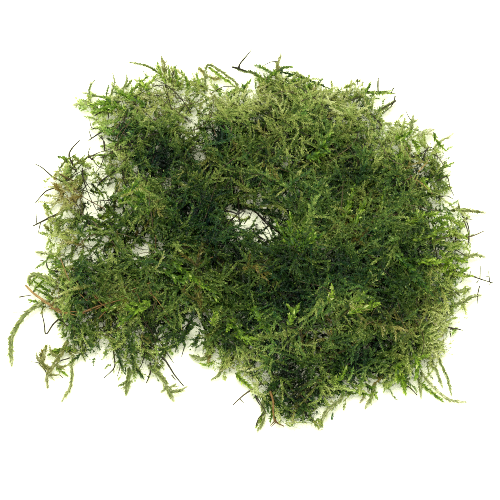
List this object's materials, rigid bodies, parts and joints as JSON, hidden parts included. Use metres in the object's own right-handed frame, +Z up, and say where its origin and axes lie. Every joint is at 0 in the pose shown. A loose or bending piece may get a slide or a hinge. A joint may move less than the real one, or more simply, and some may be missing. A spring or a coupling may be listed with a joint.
{
  "type": "aquatic moss clump",
  "caption": "Loose, flat, lumpy clump of feathery green water moss, with see-through gaps and with leafy fronds and bare stems standing out from its rim.",
  "frame": {"origin": "middle of the clump's box, on the surface that the clump lies on", "axes": "+X along the clump's length, to the right in the picture; +Y across it, away from the viewer; +Z up from the surface"},
  "size_m": [0.1403, 0.1155, 0.0227],
  "materials": {
    "tangled_moss": "damp tangle of small green leaves",
    "leafy_frond": "damp, light green, small leaves along a thin stem",
    "bare_stem": "thin dark wet stem without leaves",
    "rusty_stem": "thin orange-brown old stem"
  },
  "bodies": {
    "root": {"moss_mat": "tangled_moss", "frond_upper_left_arched": "leafy_frond", "frond_upper_left_upright": "leafy_frond", "frond_upper_left_leaning": "leafy_frond", "frond_upper_left_feathery": "leafy_frond", "frond_top_left_slender": "leafy_frond", "frond_top_left_tuft": "leafy_frond", "frond_top_hooped": "leafy_frond", "frond_top_with_twig": "leafy_frond", "frond_top_tuft": "leafy_frond", "frond_top_right_branched": "leafy_frond", "frond_top_right_leaning": "leafy_frond", "frond_upper_right_upright": "leafy_frond", "frond_upper_right_broad": "leafy_frond", "frond_upper_right_pale": "leafy_frond", "frond_right_upper": "leafy_frond", "frond_right_middle": "leafy_frond", "frond_right_short": "leafy_frond", "frond_right_lower": "leafy_frond", "frond_lower_right_outer": "leafy_frond", "frond_lower_right_inner": "leafy_frond", "frond_lower_right_long": "leafy_frond", "frond_lower_right_drooping": "leafy_frond", "frond_bottom_right": "leafy_frond", "frond_bottom_curved": "leafy_frond", "frond_bottom_left": "leafy_frond", "frond_lower_middle_short": "leafy_frond", "frond_lower_middle_left": "leafy_frond", "frond_lower_left_forked": "leafy_frond", "frond_lower_left_tuft": "leafy_frond", "frond_left_foot_short": "leafy_frond", "frond_left_foot_drooping": "leafy_frond", "frond_left_foot_branched": "leafy_frond", "frond_left_long": "leafy_frond", "frond_left_curled": "leafy_frond", "frond_left_slender": "leafy_frond", "stem_right_pale": "bare_stem", "stem_right_lower": "bare_stem", "stem_lower_right": "bare_stem", "stem_lower_left_long": "bare_stem", "stem_lower_left_short": "bare_stem", "stem_lower_left_kinked": "bare_stem", "stem_left_hooked": "bare_stem", "stem_left_bent": "bare_stem", "stem_left_drooping": "bare_stem", "stem_left_upper": "bare_stem", "stem_left_top": "bare_stem", "twig_right": "bare_stem", "twig_bottom_left": "bare_stem", "twig_left": "bare_stem", "twig_upper_left": "bare_stem", "stem_bottom_rusty": "rusty_stem", "stem_left_rusty": "rusty_stem"}
  },
  "joints": []
}
